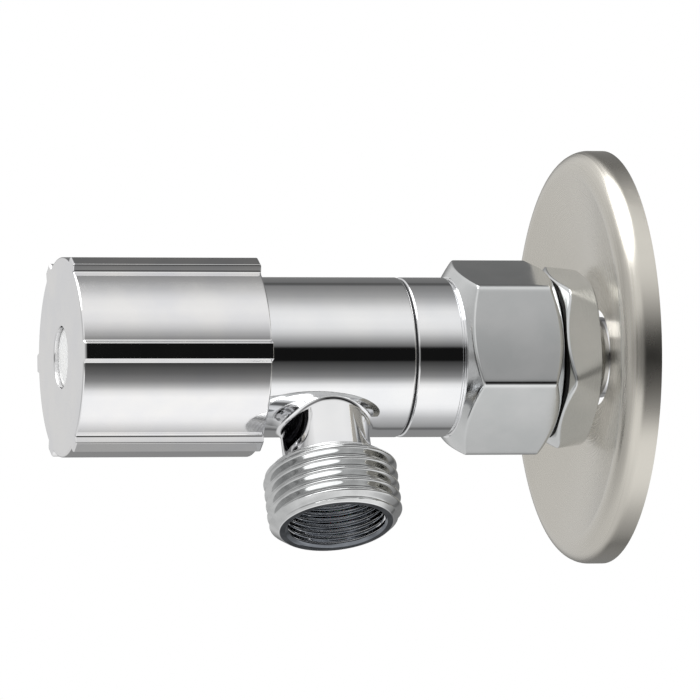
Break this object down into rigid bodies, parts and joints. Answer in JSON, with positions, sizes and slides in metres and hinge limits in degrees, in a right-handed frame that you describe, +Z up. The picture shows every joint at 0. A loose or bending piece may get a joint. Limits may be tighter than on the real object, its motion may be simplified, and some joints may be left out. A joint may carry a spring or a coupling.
{
  "type": "angle stop valve",
  "caption": "Quarter-turn angle stop valve: ribbed knob, round body with a threaded outlet at right angles, swivel inlet with compression nut, and a dished wall flange.",
  "frame": {"origin": "centre of the wall plane, on the valve axis, where the wall flange's edge rests", "axes": "+X along the valve axis into the wall, so the handle is at -X; the outlet leaves along -Z; +Z up"},
  "size_m": [0.0933, 0.065, 0.065],
  "materials": {
    "chrome_plate": "polished",
    "knob_chrome": "polished",
    "satin_nickel_sheet": "satin",
    "bare_brass": "satin",
    "spring_steel": "satin",
    "zinc_plated_steel": "satin",
    "nitrile_rubber": "satin",
    "black_acetal": "satin",
    "acetal": "satin",
    "alumina": "satin",
    "button_plastic": "gloss"
  },
  "bodies": {
    "inlet": {"inlet_tube": "chrome_plate", "olive": "bare_brass", "inlet_connector": "chrome_plate", "connector_o_rings": "nitrile_rubber"},
    "slip_ring": {"slip_ring": "acetal"},
    "gland_nut": {"gland_nut": "chrome_plate"},
    "wall_flange": {"wall_flange": "satin_nickel_sheet"},
    "valve_body": {"valve_body": "chrome_plate", "swivel_wire": "spring_steel", "swivel_washer": "black_acetal", "base_seal": "nitrile_rubber", "fixed_disc": "alumina", "disc_cage": "acetal", "bonnet": "bare_brass", "bonnet_o_ring": "nitrile_rubber"},
    "handle": {"handle": "knob_chrome", "handle_screw": "zinc_plated_steel", "handle_button": "button_plastic", "spindle": "bare_brass", "spindle_o_rings": "nitrile_rubber", "spindle_clip": "spring_steel", "stop_washer": "spring_steel", "thrust_washer": "acetal", "moving_disc": "alumina"}
  },
  "joints": [
    {"name": "body_swivel", "type": "hinge", "parent": "inlet", "child": "valve_body", "pos_m": [-0.0363, 0, 0], "axis": [1, 0, 0], "continuous": true},
    {"name": "handle_turn", "type": "hinge", "parent": "valve_body", "child": "handle", "pos_m": [-0.0723, 0, 0], "axis": [-1, 0, 0], "range_deg": [0, 90]},
    {"name": "gland_travel", "type": "slide", "parent": "inlet", "child": "slip_ring", "axis": [1, 0, 0], "range_m": [0, 0.000455]},
    {"name": "gland_turn", "type": "hinge", "parent": "slip_ring", "child": "gland_nut", "pos_m": [-0.0067, 0, 0], "axis": [1, 0, 0], "range_deg": [0, 90]},
    {"name": "flange_slide", "type": "slide", "parent": "inlet", "child": "wall_flange", "axis": [-1, 0, 0], "range_m": [0, 0.0008]}
  ],
  "couplings": [
    {"joint": "gland_travel", "follows": "gland_turn", "m_per_rad": 0.00028871}
  ]
}
